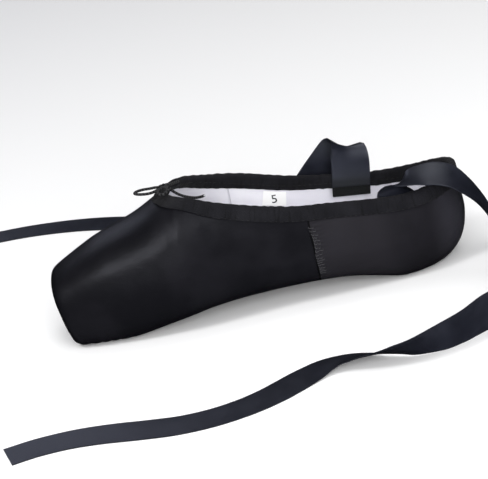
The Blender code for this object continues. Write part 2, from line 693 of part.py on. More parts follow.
def build():
    clear_scene()
    satin = material("black satin", (0.012, 0.011, 0.016), 0.38)
    ribbon_satin = material("ribbon satin", (0.020, 0.021, 0.032), 0.34)
    binding_cotton = material("binding cotton", (0.018, 0.018, 0.020), 0.85)
    leather = material("sole leather", (0.045, 0.036, 0.030), 0.70)
    board = material("insole cloth", (0.68, 0.71, 0.66), 0.80)
    string_cotton = material("string cotton", (0.022, 0.022, 0.024), 0.80)
    tag_cotton = material("tag cotton", (0.86, 0.85, 0.84), 0.75)
    add_upper(satin)
    face = UpperFace()
    add_binding(face, binding_cotton)
    add_size_tag(face, tag_cotton)
    face.free()
    add_outsole(leather)
    add_insole(board)
    add_ribbon("ribbon_near", NEAR_RIBBON, ribbon_satin)
    add_ribbon("ribbon_far", FAR_RIBBON, ribbon_satin)
    add_knot(string_cotton)
    add_string("drawstring_loop_toe", TOE_LOOP, string_cotton)
    add_string("drawstring_loop_heel", HEEL_LOOP, string_cotton)
    add_string("drawstring_end_toe", TOE_END, string_cotton)
    add_string("drawstring_end_heel", HEEL_END, string_cotton)


build()
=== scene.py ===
# Looks of the black satin pointe shoe: satin upper, gathered binding, white lining, ribbons
# and drawstring. Metres, in the part's own frame: toe at -X, heel at +X, floor at z = 0.

import math

import bmesh
import bpy
from mathutils import Matrix, Vector, noise
from mathutils.bvhtree import BVHTree
from mathutils.kdtree import KDTree


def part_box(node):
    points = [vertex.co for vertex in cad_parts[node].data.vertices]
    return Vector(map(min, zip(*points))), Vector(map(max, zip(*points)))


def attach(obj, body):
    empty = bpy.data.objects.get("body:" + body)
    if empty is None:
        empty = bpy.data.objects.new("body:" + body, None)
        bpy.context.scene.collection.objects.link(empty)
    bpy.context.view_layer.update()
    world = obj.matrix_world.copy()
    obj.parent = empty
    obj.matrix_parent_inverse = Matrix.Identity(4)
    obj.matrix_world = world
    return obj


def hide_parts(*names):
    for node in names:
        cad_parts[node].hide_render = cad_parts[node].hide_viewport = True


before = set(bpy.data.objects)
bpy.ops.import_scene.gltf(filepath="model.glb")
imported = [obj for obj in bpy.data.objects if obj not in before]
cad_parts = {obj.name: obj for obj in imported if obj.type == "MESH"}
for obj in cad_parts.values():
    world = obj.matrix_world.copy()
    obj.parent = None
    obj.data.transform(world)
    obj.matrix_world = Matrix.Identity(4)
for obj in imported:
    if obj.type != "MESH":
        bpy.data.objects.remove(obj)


def writeSize():
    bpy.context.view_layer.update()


writeSize()

# Camera at the photograph's angle to the shoe, rolled as the photograph shows it

view = {
    "azimuth": -1.0,
    "elevation": 20.0,
    "roll": 12.3,
    "distance": 1.2,
    "lens": 155.8,
    "target": (-0.004, 0.0, 0.028),
    "shift": (-0.0164, 0.0195),
}


def addCamera():
    turn = math.radians(view["azimuth"])
    lift = math.radians(view["elevation"])
    roll = math.radians(view["roll"])
    back = Vector((math.sin(turn) * math.cos(lift), -math.cos(turn) * math.cos(lift), math.sin(lift)))
    right = Vector((math.cos(turn), math.sin(turn), 0))
    up = back.cross(right)
    sideways = right * math.cos(roll) - up * math.sin(roll)
    upward = right * math.sin(roll) + up * math.cos(roll)
    lens = bpy.data.cameras.new("camera")
    lens.lens = view["lens"]
    lens.shift_x, lens.shift_y = view["shift"]
    camera = bpy.data.objects.new("camera", lens)
    place = Vector(view["target"]) + back * view["distance"]
    axes = Matrix((sideways, upward, back)).transposed().to_4x4()
    camera.matrix_world = Matrix.Translation(place) @ axes
    bpy.context.collection.objects.link(camera)
    bpy.context.scene.camera = camera


addCamera()

# Floor and light. The photograph shows no floor or sky in the satin, so the world, the floor
# and the low fill lamp light the shoe but are not mirrored in it.

stage = {
    "floorColour": (0.95, 0.95, 0.955),
    "floorRoughness": 0.75,
    "floorReach": 4.0,
    "worldColour": (1.0, 1.0, 1.0),
    "worldStrength": 0.42,
    "aim": (0.0, 0.0, 0.03),
}

lamps = {
    "key": {"power": 5.6, "place": (-0.72, -0.52, 1.02), "size": 0.34},
    "top": {"power": 4.6, "place": (0.10, -0.75, 1.12), "size": 0.90},
    "front": {"power": 1.5, "place": (-0.45, -1.20, 0.50), "size": 0.50},
    "rim": {"power": 0.42, "place": (-0.38, 1.05, 0.52), "size": 0.36, "colour": (0.78, 0.81, 1.0)},
    "sky": {"power": 2.5, "place": (0.15, 0.45, 1.15), "size": 0.80},
    "fill": {"power": 25.0, "place": (0.20, -1.25, 0.34), "size": 1.10, "mirrored": False},
}


def addLight(name, power, place, size, colour=(1.0, 1.0, 1.0), mirrored=True):
    lamp = bpy.data.lights.new(name, "AREA")
    lamp.shape = "DISK"
    lamp.size = size
    lamp.energy = power
    lamp.color = colour
    made = bpy.data.objects.new(name, lamp)
    made.location = place
    aim = Vector(stage["aim"]) - Vector(place)
    made.rotation_euler = aim.to_track_quat("-Z", "Y").to_euler()
    made.visible_glossy = mirrored
    bpy.context.collection.objects.link(made)


def addStage():
    for name, lamp in lamps.items():
        addLight(name, **lamp)
    world = bpy.data.worlds.new("studio")
    world.use_nodes = True
    background = world.node_tree.nodes["Background"]
    background.inputs["Color"].default_value = (*stage["worldColour"], 1.0)
    background.inputs["Strength"].default_value = stage["worldStrength"]
    bpy.context.scene.world = world
    world.cycles_visibility.glossy = False
    bpy.context.scene.view_settings.view_transform = "Standard"
    floorMesh = bmesh.new()
    bmesh.ops.create_grid(floorMesh, x_segments=1, y_segments=1, size=stage["floorReach"])
    mesh = bpy.data.meshes.new("floor")
    floorMesh.to_mesh(mesh)
    floorMesh.free()
    paint = bpy.data.materials.new("floor")
    paint.use_nodes = True
    shader = paint.node_tree.nodes["Principled BSDF"]
    shader.inputs["Base Color"].default_value = (*stage["floorColour"], 1.0)
    shader.inputs["Roughness"].default_value = stage["floorRoughness"]
    mesh.materials.append(paint)
    floor = bpy.data.objects.new("floor", mesh)
    floor.visible_glossy = False
    bpy.context.collection.objects.link(floor)


addStage()
print("stage ready")

# Shader maths: a signal is a socket that can be added, multiplied and shaped


class Signal:
    def __init__(self, shade, socket):
        self.shade = shade
        self.socket = socket

    def maths(self, operation, first, second=0.0):
        return self.shade.node("ShaderNodeMath", {"operation": operation}, {0: first, 1: second})

    def __add__(self, other):
        return self.maths("ADD", self, other)

    def __sub__(self, other):
        return self.maths("SUBTRACT", self, other)

    def __rsub__(self, other):
        return self.maths("SUBTRACT", other, self)

    def __mul__(self, other):
        return self.maths("MULTIPLY", self, other)

    __radd__ = __add__
    __rmul__ = __mul__

    def __abs__(self):
        return self.maths("ABSOLUTE", self)

    def sine(self):
        return self.maths("SINE", self)

    def rise(self, low, high):
        # 0 below low, 1 above high, eased between
        settings = {"interpolation_type": "SMOOTHSTEP"}
        return self.shade.node("ShaderNodeMapRange", settings, {0: self, 1: low, 2: high})

    def band(self, centre, half, soft):
        # 1 up to half from the centre, then fading out over soft
        return 1 - abs(self - centre).rise(half, half + soft)


class Shade:
    # One material: its nodes, its coordinates and its Principled shader
    def __init__(self, name, colour, roughness, **uniform):
        self.made = bpy.data.materials.new(name)
        self.made.use_nodes = True
        self.tree = self.made.node_tree
        self.shader = self.tree.nodes["Principled BSDF"]
        self.put("Base Color", (*colour, 1.0))
        self.put("Roughness", roughness)
        for socket, value in uniform.items():
            self.put(socket.replace("_", " "), value)

    def node(self, kind, settings, values, output=0):
        made = self.tree.nodes.new(kind)
        for key, value in settings.items():
            setattr(made, key, value)
        for key, value in values.items():
            if isinstance(value, Signal):
                self.tree.links.new(value.socket, made.inputs[key])
            else:
                made.inputs[key].default_value = value
        return Signal(self, made.outputs[output])

    def put(self, socket, value):
        if isinstance(value, Signal):
            self.tree.links.new(value.socket, self.shader.inputs[socket])
        else:
            self.shader.inputs[socket].default_value = value

    def place(self, scale=(1, 1, 1)):
        spot = self.node("ShaderNodeTexCoord", {}, {}, "Object")
        if scale == (1, 1, 1):
            return spot
        return self.node("ShaderNodeVectorMath", {"operation": "MULTIPLY"}, {0: spot, 1: scale})

    def axes(self, vector=None):
        vector = vector or self.place()
        return [self.node("ShaderNodeSeparateXYZ", {}, {0: vector}, i) for i in range(3)]

    def strip(self):
        # A strip's own coordinates: across and along, in millimetres
        spot = self.node("ShaderNodeUVMap", {"uv_map": "strip"}, {})
        return self.axes(spot)[:2]

    def joined(self, x, y):
        return self.node("ShaderNodeCombineXYZ", {}, {0: x, 1: y})

    def noise(self, vector, scale, detail=2.0):
        return self.node("ShaderNodeTexNoise", {}, {"Vector": vector, "Scale": scale, "Detail": detail})

    def mix(self, factor, first, second):
        values = {0: factor, 6: (*first, 1.0) if isinstance(first, tuple) else first}
        values[7] = (*second, 1.0) if isinstance(second, tuple) else second
        return self.node("ShaderNodeMix", {"data_type": "RGBA"}, values, 2)

    def bump(self, height, distance, strength=1.0):
        values = {"Height": height, "Distance": distance, "Strength": strength}
        self.put("Normal", self.node("ShaderNodeBump", {}, values))


# Materials

satin = {
    "vamp": (0.0036, 0.0036, 0.0050),
    "quarter": (0.0140, 0.0130, 0.0158),
    "paintedHeelBackSheen": (0.0240, 0.0235, 0.0300),
    "mist": (0.0098, 0.0094, 0.0124),
    "seamLine": (0.0008, 0.0008, 0.0009),
    "cloud": 0.35,
    "roughness": 0.30,
    "seamPlace": 0.0290,
}


def satinMaterial():
    shade = Shade("upper satin", satin["vamp"], satin["roughness"], Specular_IOR_Level=0.10,
                  Specular_Tint=(0.86, 0.88, 1.0, 1.0), Coat_Weight=0.42, Coat_Roughness=0.52,
                  Coat_IOR=1.3)
    x, y, z = shade.axes()
    streak = shade.noise(shade.place((60, 500, 500)), 1.0, 2.0)
    grain = shade.noise(shade.place((900, 2600, 2600)), 1.0, 1.0)
    cloud = shade.noise(shade.place(), 42.0, 3.0)
    drape = shade.noise(shade.place((95, 60, 150)), 1.0, 2.0)
    seam = x.band(satin["seamPlace"], 0.00025, 0.0004)
    pull = x.band(satin["seamPlace"] + 0.003, 0.0020, 0.0030) * (z * 2850).sine()
    # The quarter behind the seam is painted paler than the vamp as a painted sheen, and the painted
    # sheen is weaker again before the heel
    quarterSheenShare = x.rise(satin["seamPlace"] - 0.0003, satin["seamPlace"])
    quarterSheenShare = quarterSheenShare * (1 - x.band(0.086, 0.006, 0.016) * 0.5)
    paint = shade.mix(quarterSheenShare * (0.50 + cloud * 0.5), satin["vamp"], satin["quarter"])
    paint = shade.mix(cloud.rise(0.35, 0.75) * satin["cloud"], paint, satin["mist"])
    # Towards the heel back the satin is painted paler and bluish: a painted sheen
    paint = shade.mix(x.rise(0.094, 0.113) * 0.85, paint, satin["paintedHeelBackSheen"])
    shade.put("Base Color", shade.mix(seam * 0.9, paint, satin["seamLine"]))
    shade.put("Roughness", satin["roughness"] + cloud * 0.10 + streak * 0.05 + seam * 0.3 - 0.05)
    height = grain * 0.50 + streak * 0.24 + drape * 2.2 + pull * 0.5 - seam * 2.0
    shade.bump(height, 0.00022, 0.8)
    return shade.made


def liningMaterial():
    shade = Shade("lining", (0.84, 0.825, 0.89), 0.85, Specular_IOR_Level=0.2)
    x, y, z = shade.axes()
    weave = (x * 5200).sine() * 0.5 + (y * 5200).sine() * 0.5
    cloud = shade.noise(shade.place(), 55.0, 3.0)
    seam = x.band(-0.0100, 0.00025, 0.0005)
    heelSeam = y.band(0.0, 0.0003, 0.0005) * x.rise(0.098, 0.102)
    dots = 0.0
    for row in (-0.0065, -0.0028, 0.0028, 0.0065):
        dots = dots + y.band(row, 0.00025, 0.0003) * x.rise(0.098, 0.102)
    dots = dots * (z * 2500).sine().rise(0.1, 0.5)
    dark = (seam + heelSeam + dots) * 0.42
    paint = shade.mix(cloud.rise(0.3, 0.8), (0.80, 0.785, 0.86), (0.88, 0.87, 0.925))
    shade.put("Base Color", shade.mix(dark, paint, (0.50, 0.48, 0.55)))
    shade.bump(weave * 0.12 + cloud * 1.3 - (seam + heelSeam) * 2.2 - dots * 1.2, 0.00025, 0.8)
    return shade.made


def twillMaterial():
    shade = Shade("binding twill", (0.009, 0.009, 0.0095), 0.88, Specular_IOR_Level=0.15,
                  Sheen_Weight=0.03, Sheen_Roughness=0.5)
    across, along = shade.strip()
    lines = (across * 7.0 + along * 5.2).sine()
    fuzz = shade.noise(shade.place(), 900.0, 2.0)
    cloud = shade.noise(shade.place(), 70.0, 2.0)
    gather = shade.noise(shade.joined(along * 0.75, across * 0.07), 1.0, 2.0)
    paint = shade.mix(cloud.rise(0.3, 0.75), (0.0056, 0.0056, 0.0072), (0.0094, 0.0093, 0.0116))
    # Painted shade: the tape is painted darker in the troughs of its gathers
    paint = shade.mix(gather.rise(0.52, 0.70) * 0.7, paint, (0.0030, 0.0031, 0.0035))
    shade.put("Base Color", paint)
    shade.bump(lines * 0.4 + fuzz * 0.9 - gather * 2.4, 0.00022, 0.9)
    return shade.made


def ribbonMaterial():
    shade = Shade("ribbon satin", (0.010, 0.011, 0.017), 0.33, Specular_IOR_Level=0.80,
                  Specular_Tint=(0.84, 0.88, 1.0, 1.0))
    across, along = shade.strip()
    edge = abs(across).rise(10.2, 10.7)  # the woven edges, 11 mm from the middle
    weft = (along * 16.0).sine()
    soft = shade.noise(shade.place((70, 70, 70)), 1.0, 2.0)
    fine = shade.noise(shade.place((700, 700, 700)), 1.0, 1.0)
    # Painted shade: the ribbon's end inside the shoe is painted near-black, and it is also made rougher
    paintedShadeEnd = 1 - along.rise(10, 15)  # the end inside the shoe lies in the dark
    paint = shade.mix(soft.rise(0.3, 0.75), (0.0088, 0.0096, 0.0146), (0.0150, 0.0163, 0.0236))
    shade.put("Base Color", shade.mix(paintedShadeEnd * 0.8, paint, (0.0040, 0.0042, 0.0050)))
    shade.put("Roughness", 0.26 + soft * 0.12 + edge * 0.2 + paintedShadeEnd * 0.25)
    shade.bump(weft * 0.10 * (1 - edge) + fine * 0.25 + edge * 0.7, 0.00018, 0.7)
    return shade.made


def leatherMaterial():
    shade = Shade("outsole suede", (0.030, 0.026, 0.024), 0.80, Specular_IOR_Level=0.3)
    coarse = shade.noise(shade.place(), 260.0, 4.0)
    cloud = shade.noise(shade.place(), 30.0, 3.0)
    paint = shade.mix(cloud.rise(0.3, 0.75), (0.022, 0.019, 0.018), (0.045, 0.040, 0.037))
    shade.put("Base Color", paint)
    shade.put("Roughness", 0.70 + cloud * 0.18)
    shade.bump(coarse, 0.00030, 0.8)
    return shade.made


def insoleMaterial():
    shade = Shade("insole cloth", (0.69, 0.725, 0.675), 0.82, Specular_IOR_Level=0.25)
    x, y, z = shade.axes()
    weave = (x * 4200).sine() * 0.5 + (y * 4200).sine() * 0.5
    cloud = shade.noise(shade.place(), 38.0, 3.0)
    paint = shade.mix(cloud.rise(0.3, 0.8), (0.66, 0.695, 0.645), (0.73, 0.76, 0.715))
    shade.put("Base Color", paint)
    shade.bump(weave * 0.35 + cloud * 0.8, 0.00020, 0.8)
    return shade.made


def stringMaterial():
    shade = Shade("drawstring cotton", (0.012, 0.012, 0.013), 0.80, Specular_IOR_Level=0.2,
                  Sheen_Weight=0.03)
    across, along = shade.strip()
    braid = (across + along * 3.4).sine() * 0.5 + (across - along * 3.4).sine() * 0.5
    # Painted shade: the cord is painted darker in the braid's grooves and paler on its ridges
    paint = shade.mix(braid.rise(-0.6, 0.7), (0.005, 0.005, 0.0055), (0.030, 0.030, 0.032))
    shade.put("Base Color", paint)
    shade.bump(braid, 0.00016, 0.9)
    return shade.made


def plainMaterial(name, colour, roughness):
    shade = Shade(name, colour, roughness, Specular_IOR_Level=0.3)
    shade.bump(shade.noise(shade.place(), 1500.0, 2.0), 0.0001, 0.7)
    return shade.made


finishes = {
    "satin": satinMaterial(),
    "lining": liningMaterial(),
    "twill": twillMaterial(),
    "ribbon": ribbonMaterial(),
    "leather": leatherMaterial(),
    "insole": insoleMaterial(),
    "string": stringMaterial(),
    "thread": plainMaterial("black thread", (0.012, 0.012, 0.013), 0.60),
    "seamThread": plainMaterial("seam thread", (0.042, 0.042, 0.046), 0.60),
    # The folded hem is painted near-black, darker than the ribbon: painted shade inside the shoe, on a
    # matte double layer
    "hem": plainMaterial("folded hem", (0.0055, 0.0060, 0.0062), 0.75),
    "paleThread": plainMaterial("pale cut fibre", (0.42, 0.42, 0.44), 0.85),
    "tag": plainMaterial("tag tape", (0.96, 0.955, 0.955), 0.75),
    "print": plainMaterial("tag print", (0.020, 0.020, 0.024), 0.75),
}
print("materials ready")

# Shared helpers

sharpAngle = 65.0


def addPiece(name, made, *paints, replaces=(), slot=None):
    # Makes an object of a bmesh, smooth but for sharp edges, on the part's one body
    mesh = bpy.data.meshes.new(name)
    made.to_mesh(mesh)
    made.free()
    for paint in paints:
        mesh.materials.append(finishes[paint])
    mesh.shade_smooth()
    mesh.set_sharp_from_angle(angle=math.radians(sharpAngle))
    piece = bpy.data.objects.new(name, mesh)
    bpy.context.collection.objects.link(piece)
    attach(piece, "root")
    if replaces:
        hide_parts(*replaces)
    return piece


def mergedCopy(node, levels):
    # The CAD node's mesh welded, its triangles joined to quads, then rounded
    made = bmesh.new()
    made.from_mesh(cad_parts[node].data)
    bmesh.ops.remove_doubles(made, verts=made.verts, dist=2e-5)
    bmesh.ops.join_triangles(made, faces=made.faces, angle_face_threshold=math.radians(40),
                             angle_shape_threshold=math.radians(60), cmp_seam=False, cmp_sharp=False,
                             cmp_uvs=False, cmp_vcols=False, cmp_materials=False)
    mesh = bpy.data.meshes.new(node + " copy")
    made.to_mesh(mesh)
    made.free()
    # The normals stored in the CAD file no longer fit the joined faces
    if "custom_normal" in mesh.attributes:
        mesh.attributes.remove(mesh.attributes["custom_normal"])
    helper = bpy.data.objects.new(node + " copy", mesh)
    bpy.context.collection.objects.link(helper)
    rounder = helper.modifiers.new("round", "SUBSURF")
    rounder.levels = levels
    rounder.render_levels = levels
    rounder.boundary_smooth = "PRESERVE_CORNERS"
    seen = helper.evaluated_get(bpy.context.evaluated_depsgraph_get())
    result = bmesh.new()
    result.from_mesh(seen.to_mesh())
    seen.to_mesh_clear()
    bpy.data.objects.remove(helper, do_unlink=True)
    for face in result.faces:
        face.material_index = 0
    return result


def ease(value, start, end):
    # 0 up to start, 1 from end on, eased between
    share = min(max((value - start) / (end - start), 0.0), 1.0)
    return share * share * (3 - 2 * share)


def smoothRoute(points, step):
    # A smooth curve through all the points, in steps of about one length
    chain = [points[0] * 2 - points[1], *points, points[-1] * 2 - points[-2]]
    found = []
    for a, b, c, d in zip(chain, chain[1:], chain[2:], chain[3:]):
        count = max(1, round((c - b).magnitude / step))
        for i in range(count):
            t = i / count
            found.append(0.5 * (2 * b + (c - a) * t + (2 * a - 5 * b + 4 * c - d) * t**2
                                + (3 * b - a - 3 * c + d) * t**3))
    return found + [points[-1]]


def sweepTube(name, points, radius, paint, sides, taper=0.0):
    # A round thread or cord along points, with its own across and along coordinates
    made = bmesh.new()
    strip = made.loops.layers.uv.new("strip")
    bmesh.ops.create_grid(made, x_segments=len(points) - 1, y_segments=sides, size=0.5)
    lengths = [0.0]
    for a, b in zip(points, points[1:]):
        lengths.append(lengths[-1] + (b - a).length)
    side = Vector((0, 0, 1))
    frames = []
    for i, point in enumerate(points):
        along = (points[min(i + 1, len(points) - 1)] - points[max(i - 1, 0)]).normalized()
        side = (side - along * side.dot(along)).normalized()
        frames.append((point, side.copy(), along.cross(side)))
    for vertex in made.verts:
        i = round((vertex.co.x + 0.5) * (len(points) - 1))
        turn = (vertex.co.y + 0.5) * 2 * math.pi
        for loop in vertex.link_loops:
            loop[strip].uv = (turn, lengths[i] * 1000)
        point, first, second = frames[i]
        end = min(i, len(points) - 1 - i)
        size = radius * (1 - taper if end == 0 else 1.0)
        vertex.co = point + (first * math.cos(turn) + second * math.sin(turn)) * size
    bmesh.ops.remove_doubles(made, verts=made.verts, dist=1e-6)
    edges = [edge for edge in made.edges if edge.is_boundary]
    bmesh.ops.holes_fill(made, edges=edges, sides=0)
    bmesh.ops.recalc_face_normals(made, faces=made.faces)
    return addPiece(name, made, paint)


def addStitches(name, places, radius, paint):
    # Many short stitches as one piece: each is a thin capsule between two points
    made = bmesh.new()
    for start, end in places:
        along = end - start
        turn = along.to_track_quat("Z", "Y").to_matrix().to_4x4()
        spot = Matrix.Translation((start + end) / 2) @ turn
        stretch = Matrix.Diagonal((radius, radius, along.length / 2, 1.0))
        bmesh.ops.create_uvsphere(made, u_segments=6, v_segments=6, radius=1.0, matrix=spot @ stretch)
    addPiece(name, made, paint)


# The collar line, from the part's own table: from the toe, half width and height

collarLine = (
    (0.0740, 0.0000, 0.0715), (0.0748, 0.0055, 0.0719), (0.0780, 0.0123, 0.0725),
    (0.0850, 0.0191, 0.0721), (0.0970, 0.0249, 0.0689), (0.1121, 0.0298, 0.0648),
    (0.1250, 0.0306, 0.0612), (0.1450, 0.0286, 0.0557), (0.1651, 0.0260, 0.0526),
    (0.1800, 0.0251, 0.0501), (0.1961, 0.0249, 0.0482), (0.2120, 0.0232, 0.0479),
    (0.2255, 0.0175, 0.0487), (0.2340, 0.0100, 0.0512), (0.2375, 0.0000, 0.0540),
)
toeX = -0.120


class Collar:
    # The top line as a closed curve, for finding how far round it a place lies
    def __init__(self):
        near = [Vector((toeX + a, -b, c)) for a, b, c in collarLine]
        far = [Vector((p.x, -p.y, p.z)) for p in reversed(near[1:-1])]
        ring = near + far
        loop = smoothRoute([ring[-1], *ring, ring[0], ring[1]], 0.0008)

        def throat(span):
            return min(span, key=lambda i: (loop[i] - ring[0]).length)

        # The route overlaps itself, so it is cut where it passes the throat each time
        self.points = loop[throat(range(len(loop) // 4)):throat(range(len(loop) // 2, len(loop)))]
        self.lengths = [0.0]
        for a, b in zip(self.points, self.points[1:]):
            self.lengths.append(self.lengths[-1] + (b - a).length)
        self.total = self.lengths[-1] + (self.points[0] - self.points[-1]).length
        self.tree = KDTree(len(self.points))
        for i, point in enumerate(self.points):
            self.tree.insert(point, i)
        self.tree.balance()

    def near(self, place):
        # Distance round the collar, distance from it, and the nearest point
        point, index, distance = self.tree.find(place)
        return self.lengths[index], distance, point

    def at(self, length):
        # The point and the direction at a distance round the collar
        length %= self.total
        index = min(range(len(self.points)), key=lambda i: abs(self.lengths[i] - length))
        along = self.points[(index + 1) % len(self.points)] - self.points[index - 1]
        return self.points[index], along.normalized()


collar = Collar()

# Upper: the solid's own form, rounded, with creases, gathers under the binding and pleats
# under the toe. Its inner face is the white lining.

upper = {
    "gatherDepth": 0.00007,
    "gatherPitch": 0.0062,
    "gatherReach": 0.009,
    "pleatDepth": 0.00045,
    "pleatCount": 30,
    "pleatCentre": -0.084,
    "waveDepth": 0.00036,
    "spine": (-0.095, 0.085),
    "spineHeight": 0.030,
}

# Each crease: start and end on the near side, half width, depth (minus is a trough), and
# whether the far side has it too
creases = (
    ((-0.0260, -0.0360, 0.0560), (-0.0020, -0.0400, 0.0330), 0.0034, -0.00070, True),
    ((-0.0180, -0.0370, 0.0545), (0.0070, -0.0380, 0.0360), 0.0036, 0.00055, True),
    ((-0.0110, -0.0370, 0.0500), (0.0120, -0.0380, 0.0300), 0.0034, -0.00048, True),
    ((-0.0560, -0.0200, 0.0650), (-0.0480, -0.0380, 0.0400), 0.0070, -0.00008, True),
    ((-0.0200, -0.0370, 0.0420), (0.0050, -0.0380, 0.0220), 0.0050, -0.00055, False),
    ((-0.0300, -0.0330, 0.0600), (-0.0080, -0.0400, 0.0380), 0.0026, 0.00055, True),
    ((-0.0080, -0.0350, 0.0500), (0.0180, -0.0370, 0.0380), 0.0030, 0.00045, False),
    ((0.0200, -0.0360, 0.0400), (0.0420, -0.0340, 0.0180), 0.0050, -0.00055, True),
    ((0.0480, -0.0330, 0.0420), (0.0620, -0.0340, 0.0200), 0.0060, 0.00048, True),
    ((0.0820, -0.0300, 0.0400), (0.0960, -0.0280, 0.0200), 0.0060, -0.00062, True),
    ((0.1100, -0.0160, 0.0400), (0.1140, -0.0150, 0.0200), 0.0050, -0.00048, True),
)


def distanceTo(point, start, end):
    # From a point to the straight stretch between two others
    along = end - start
    share = min(max((point - start).dot(along) / along.length_squared, 0.0), 1.0)
    return (start + along * share - point).length


def isInside(face):
    # A face of the inner side looks towards a line through the middle of the shoe
    centre = face.calc_center_median()
    toe, heel = upper["spine"]
    middle = Vector((min(max(centre.x, toe), heel), 0.0, upper["spineHeight"]))
    return (middle - centre).dot(face.normal) > 0


def satinShift(point):
    # How far the satin stands out of the plain form at a point
    shift = 0.0
    for start, end, half, depth, both in creases:
        side = Vector((point.x, -abs(point.y), point.z)) if both else point
        away = distanceTo(side, Vector(start), Vector(end)) / half
        if away < 3:
            shift += depth * math.exp(-away * away)
    length, away, _ = collar.near(point)
    gather = math.sin(length / upper["gatherPitch"] * 2 * math.pi + 2.2 * noise.noise(point * 90))
    strong = 0.5 + abs(noise.noise(point * 60 + Vector((3, 1, 7)))) * 1.6
    fade = math.exp(-max(away - 0.004, 0) / upper["gatherReach"])
    shift += upper["gatherDepth"] * strong * gather * fade
    fromToe = point.x - toeX
    low = (1 - ease(point.z, 0.004, 0.013)) * (1 - ease(fromToe, 0.030, 0.050))
    if low > 0:
        turn = math.atan2(point.y, upper["pleatCentre"] - point.x)
        reach = math.hypot(point.y, point.x - upper["pleatCentre"])
        fold = abs(math.sin(turn * upper["pleatCount"] / 2 + noise.noise(point * 120)))
        shift += upper["pleatDepth"] * low * (fold - 0.5) * ease(reach, 0.010, 0.016)
    wave = noise.noise(point * 34 + Vector((5, 2, 9)))
    shift += upper["waveDepth"] * wave * ease(fromToe, 0.030, 0.080)
    return shift


def addUpper():
    made = mergedCopy("upper", 2)
    made.normal_update()
    inside = set()
    for face in made.faces:
        if isInside(face):
            face.material_index = 1
            inside.update(face.verts)
    for vertex in made.verts:
        if vertex not in inside:
            vertex.co += vertex.normal * satinShift(vertex.co.copy())
    made.normal_update()
    tree = BVHTree.FromBMesh(made)
    piece = addPiece("satin_upper", made, "satin", "lining", replaces=["upper"], slot="black satin")
    return piece, tree


upperPiece, upperTree = addUpper()
print("upper ready", len(upperPiece.data.polygons))


def onSurface(tree, place, out):
    # The point of a piece nearest to a place, then a little outwards
    spot, normal, _, _ = tree.find_nearest(place)
    return spot + normal * out


# Binding: cotton tape gathered over the edge, with scalloped edges

binding = {
    "pitch": 0.0060,
    "ripple": 0.00016,
    "scallop": 0.00010,
    "cuts": 4,
    "depth": 0.0078,
    "stitchStep": 0.0030,
    "stitchDepth": 0.0064,
    "stitchThread": 0.00014,
    "stitchLift": 0.00008,
}


def addBinding():
    made = mergedCopy("collar_binding", 1)
    strip = made.loops.layers.uv.new("strip")
    longWays = []  # edges that run along the tape, cut finer for the ripples
    for edge in made.edges:
        a, b = edge.verts
        _, along = collar.at(collar.near((a.co + b.co) / 2)[0])
        if abs((b.co - a.co).normalized().dot(along)) > 0.7 and edge.calc_length() > 0.0012:
            longWays.append(edge)
    bmesh.ops.subdivide_edges(made, edges=longWays, cuts=binding["cuts"], use_grid_fill=True)
    made.normal_update()
    moved = []
    for vertex in made.verts:
        length, _, spot = collar.near(vertex.co)
        deep = min(max((spot.z - vertex.co.z) / binding["depth"], -0.2), 1.0)
        phase = length / binding["pitch"] * 2 * math.pi + 4.5 * noise.noise(spot * 60)
        shape = math.sin(phase) * 0.7 + 0.9 * noise.noise(spot * 230)
        strong = 0.55 + abs(noise.noise(spot * 50)) * 1.5
        ripple = binding["ripple"] * shape * strong * (1 - 0.8 * ease(deep, 0.0, 0.8))
        down = Vector((0, 0, -1)) * binding["scallop"] * strong * shape * ease(deep, 0.45, 0.95)
        moved.append((vertex, vertex.normal * ripple + down))
    for vertex, shift in moved:
        vertex.co += shift
    for face in made.faces:
        for loop in face.loops:
            length, _, spot = collar.near(loop.vert.co)
            loop[strip].uv = ((spot.z - loop.vert.co.z) * 1000, length * 1000)
    made.normal_update()
    tree = BVHTree.FromBMesh(made)
    piece = addPiece("gathered_binding", made, "twill", replaces=["collar_binding"],
                     slot="binding cotton")
    return piece, tree


bindingPiece, bindingTree = addBinding()
print("binding ready", len(bindingPiece.data.polygons))


def addBindingStitches():
    # A row on each face of the tape, near its lower edge
    places = []
    count = int(collar.total / binding["stitchStep"])
    for i in range(count):
        for side in (1, -1):
            ends = []
            for share in (0.15, 0.72):
                spot, along = collar.at((i + share) * binding["stitchStep"])
                outward = Vector((along.y, -along.x, 0)).normalized()
                place = spot + Vector((0, 0, -binding["stitchDepth"])) + outward * side * 0.006
                ends.append(onSurface(bindingTree, place, binding["stitchLift"]))
            if 0.001 < (ends[1] - ends[0]).length < 0.003:
                places.append(ends)
    addStitches("binding_stitches", places, binding["stitchThread"], "thread")


addBindingStitches()

# Side seams: a raised fold, a ladder of stitches behind it and cut thread ends below

seam = {
    "place": satin["seamPlace"],
    "flank": 0.045,  # further out than the upper, from where its surface is found
    "width": 0.0050,
    "low": 0.0125,
    "high": 0.0500,
    "step": 0.0022,
    "lift": 0.00006,
    "thread": 0.00021,
    "fold": 0.00032,
    "foldLow": 0.0100,
    "foldStep": 0.0010,
    "foldSteps": 40,
    "foldSink": 0.00004,
    "tailHeight": 0.0104,
    "tails": (0.0016, 0.0022, 0.0013),
    "tailThread": 0.00013,
}


def onFlank(side, across, height, out):
    # On the upper beside the seam: side is -1 for the near flank and 1 for the far one
    guess = Vector((seam["place"] + across, side * seam["flank"], height))
    return onSurface(upperTree, guess, out)


def addSeamFold(name, side):
    points = []
    for i in range(seam["foldSteps"]):
        across = 0.0003 * math.sin(i * 0.55) + 0.0002 * math.sin(i * 1.9) - 0.0003
        height = seam["foldLow"] + seam["foldStep"] * i
        points.append(onFlank(side, across, height, -seam["foldSink"]))
    sweepTube(name, points, seam["fold"], "satin", sides=8)


